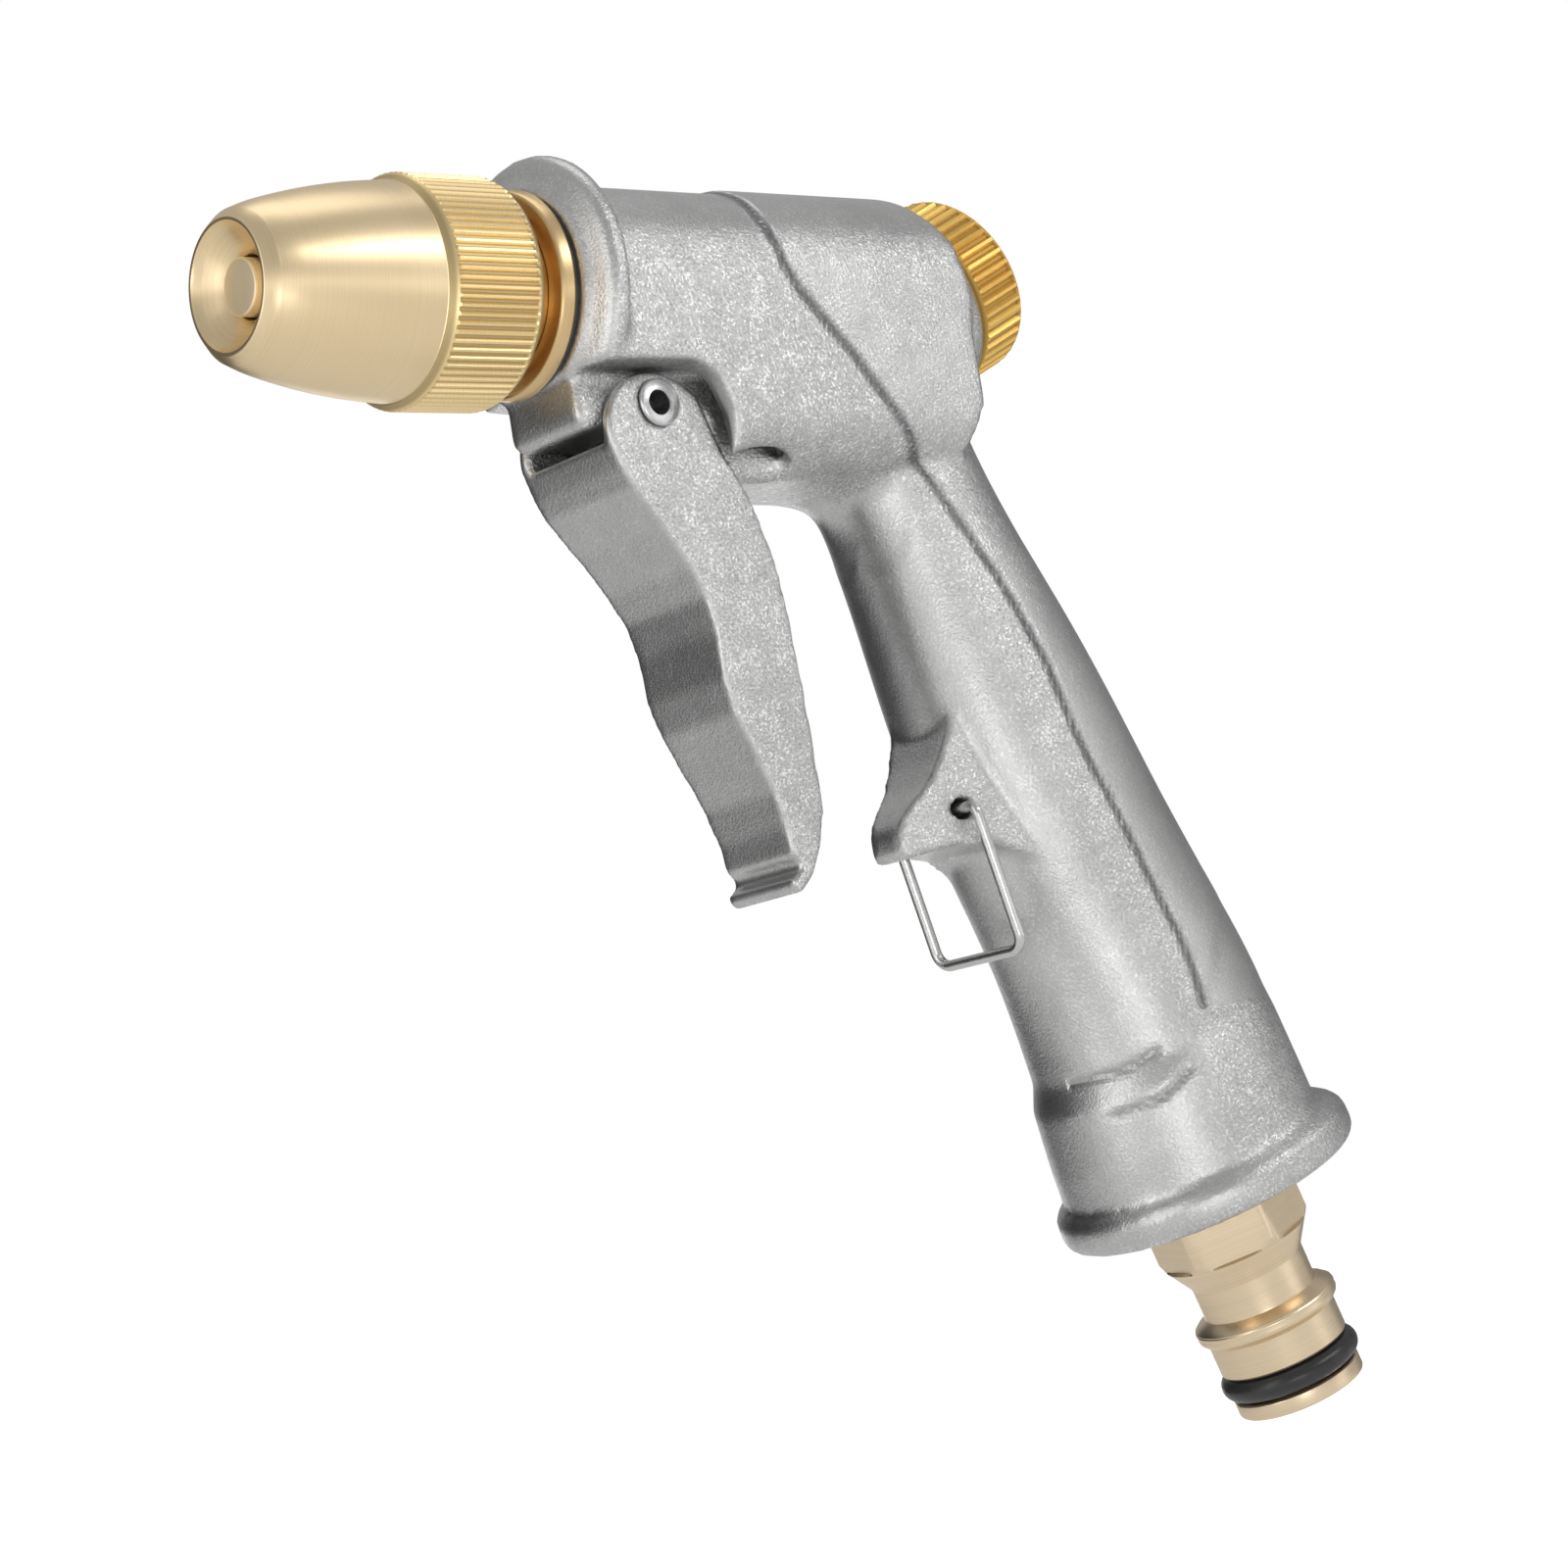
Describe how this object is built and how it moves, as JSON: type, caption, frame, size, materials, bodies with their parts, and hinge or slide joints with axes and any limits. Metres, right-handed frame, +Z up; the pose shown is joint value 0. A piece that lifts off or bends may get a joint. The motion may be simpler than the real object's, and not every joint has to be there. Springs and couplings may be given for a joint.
{
  "type": "hose spray nozzle",
  "caption": "Pistol-grip garden hose spray nozzle with a squeeze trigger, hold-open bail, twist nozzle head, flow knob and a quick-connect hose spigot.",
  "frame": {"origin": "centre of the hose spigot's tip face, on the spigot's axis", "axes": "+Z up with the barrel level, -X the way the water leaves, +Y to the user's right hand side when pointing the nozzle along -X"},
  "size_m": [0.1365, 0.037, 0.1503],
  "materials": {
    "nickel_casting": "satin pearl nickel over a blasted die casting",
    "nickel_lever": "satin pearl nickel over a blasted die casting",
    "nozzle_brass": "turned, satin",
    "gland_brass": "turned",
    "tube_brass": "turned",
    "knob_brass": "knurled, deep yellow",
    "connector_brass": "turned",
    "rivet_steel": "rolled",
    "bail_steel": "drawn wire",
    "spring_steel": "drawn wire",
    "black_rubber": "smooth moulded"
  },
  "bodies": {
    "body": {"body_casting": "nickel_casting", "spray_tube": "tube_brass", "centre_pin": "nozzle_brass", "gland_ring": "gland_brass", "front_gasket": "black_rubber", "pivot_rivet": "rivet_steel", "stem_bushing": "tube_brass", "stem_o_ring": "black_rubber", "valve_seat": "tube_brass", "valve_spring": "spring_steel", "hose_connector": "connector_brass", "connector_gasket": "black_rubber", "connector_o_ring": "black_rubber"},
    "trigger": {"trigger_lever": "nickel_lever"},
    "valve": {"valve_stem": "bail_steel", "valve_washer": "black_rubber", "valve_plug": "tube_brass", "stem_nut": "tube_brass"},
    "nozzle_screw": {"nozzle_o_ring": "black_rubber"},
    "nozzle": {"nozzle_head": "nozzle_brass"},
    "knob_screw": {"knob_o_ring": "black_rubber"},
    "knob": {"adjuster_knob": "knob_brass"},
    "bail": {"wire_bail": "bail_steel"}
  },
  "joints": [
    {"name": "trigger_pivot", "type": "hinge", "parent": "body", "child": "trigger", "pos_m": [-0.08126, 0, 0.11791], "axis": [0, -1, 0], "range_deg": [0, 18], "stiffness_Nm_per_rad": 0.6, "springref_deg": -14.32},
    {"name": "valve_slide", "type": "slide", "parent": "body", "child": "valve", "axis": [0.907, 0, 0.421], "range_m": [0, 0.00222], "deforming": ["valve_spring"]},
    {"name": "nozzle_travel", "type": "slide", "parent": "body", "child": "nozzle_screw", "axis": [-1, 0, 0], "range_m": [-0.0025, 0.0035]},
    {"name": "nozzle_twist", "type": "hinge", "parent": "nozzle_screw", "child": "nozzle", "pos_m": [-0.10236, 0, 0.13201], "axis": [-1, 0, 0], "range_deg": [-451, 631]},
    {"name": "knob_travel", "type": "slide", "parent": "body", "child": "knob_screw", "axis": [0.907, 0, 0.421], "range_m": [-0.0005, 0.003], "deforming": ["valve_spring"]},
    {"name": "knob_twist", "type": "hinge", "parent": "knob_screw", "child": "knob", "pos_m": [-0.03066, 0, 0.13361], "axis": [0.907, 0, 0.421], "range_deg": [-121, 721]},
    {"name": "bail_swing", "type": "hinge", "parent": "body", "child": "bail", "pos_m": [-0.04346, 0, 0.07181], "axis": [0, 1, 0], "range_deg": [-9, 106]}
  ],
  "couplings": [
    {"joint": "valve_slide", "follows": "trigger_pivot", "m_per_rad": 0.00705},
    {"joint": "nozzle_twist", "follows": "nozzle_travel", "rad_per_m": 3141.6},
    {"joint": "knob_twist", "follows": "knob_travel", "rad_per_m": 4188.8}
  ]
}
